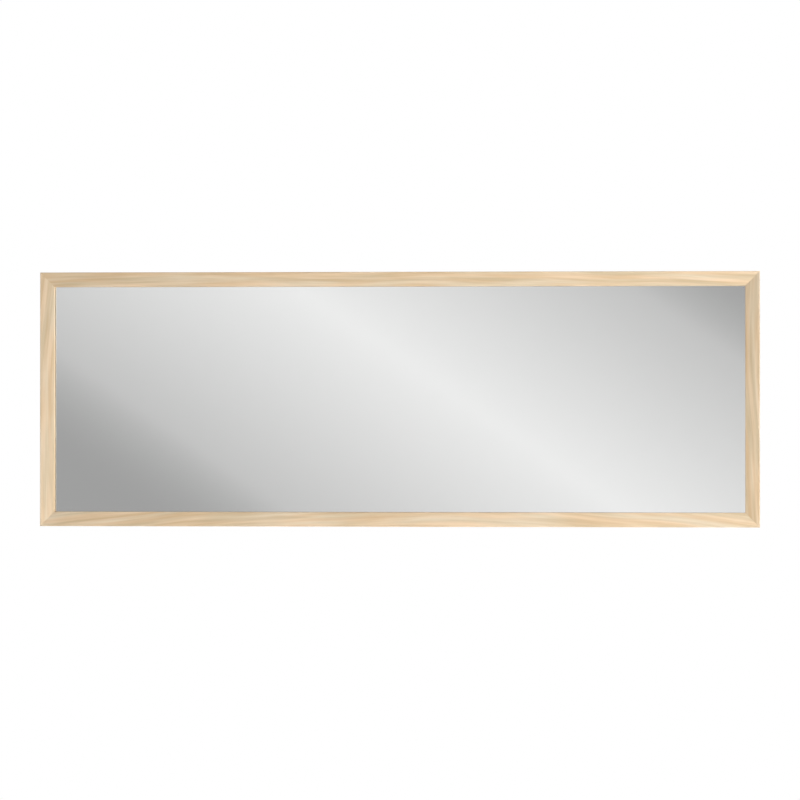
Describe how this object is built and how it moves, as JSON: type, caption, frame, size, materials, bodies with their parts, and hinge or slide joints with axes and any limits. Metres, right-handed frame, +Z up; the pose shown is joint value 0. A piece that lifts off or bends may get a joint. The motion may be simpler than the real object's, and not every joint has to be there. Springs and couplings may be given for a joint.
{
  "type": "wall mirror",
  "caption": "Long framed wall mirror: a silvered pane in a rebated, mitred oak-veneered moulding, with strap hangers and wall bumpers behind.",
  "frame": {"origin": "on the wall plane, behind the middle of the glass", "axes": "+X to the viewer's right along the mirror's length, +Y into the wall, +Z up; the glass faces -Y"},
  "size_m": [1.237, 0.025, 0.437],
  "materials": {
    "oak_veneer": "matt lacquered pale oak, fine grain along each side",
    "fibreboard": "bare medium-density fibreboard",
    "clear_glass": "polished clear float glass",
    "silver_coat": "silvered, with backing paint behind",
    "white_foam": "closed-cell foam sheet",
    "hardboard": "pressed board, smooth outer face",
    "spacer_strip": "dense foam strip",
    "point_steel": "bare sheet steel",
    "nail_steel": "bare spring steel",
    "plated_strap": "zinc-plated sheet steel",
    "plated_wire": "nickel-plated wire",
    "screw_steel": "zinc-plated, cross recess",
    "bumper_rubber": "moulded rubber"
  },
  "bodies": {
    "mirror": {"top_rail": "fibreboard", "top_rail_veneer": "oak_veneer", "bottom_rail": "fibreboard", "bottom_rail_veneer": "oak_veneer", "left_stile": "fibreboard", "left_stile_veneer": "oak_veneer", "right_stile": "fibreboard", "right_stile_veneer": "oak_veneer", "hanger_strap_left": "plated_strap", "hanger_strap_right": "plated_strap", "hanger_strap_upper": "plated_strap", "hanger_strap_lower": "plated_strap", "bumper_top_left": "bumper_rubber", "bumper_top_right": "bumper_rubber", "bumper_bottom_left": "bumper_rubber", "bumper_bottom_right": "bumper_rubber", "mirror_glass": "clear_glass", "silvering": "silver_coat", "foam_sheet": "white_foam", "backing_board": "hardboard", "glass_spacers": "spacer_strip", "glazing_points": "point_steel", "v_nails": "nail_steel", "hanger_screws": "screw_steel"},
    "left_ring": {"hanger_ring_left": "plated_wire"},
    "right_ring": {"hanger_ring_right": "plated_wire"},
    "upper_ring": {"hanger_ring_upper": "plated_wire"},
    "lower_ring": {"hanger_ring_lower": "plated_wire"}
  },
  "joints": [
    {"name": "left_ring_swing", "type": "hinge", "parent": "mirror", "child": "left_ring", "pos_m": [-0.60975, -0.0028, 0.12], "axis": [1, 0, 0], "range_deg": [0, 180]},
    {"name": "right_ring_swing", "type": "hinge", "parent": "mirror", "child": "right_ring", "pos_m": [0.60975, -0.0028, 0.12], "axis": [1, 0, 0], "range_deg": [0, 180]},
    {"name": "upper_ring_swing", "type": "hinge", "parent": "mirror", "child": "upper_ring", "pos_m": [-0.37, -0.0028, 0.20975], "axis": [0, 0, 1], "range_deg": [0, 180]},
    {"name": "lower_ring_swing", "type": "hinge", "parent": "mirror", "child": "lower_ring", "pos_m": [-0.37, -0.0028, -0.20975], "axis": [0, 0, 1], "range_deg": [0, 180]}
  ]
}
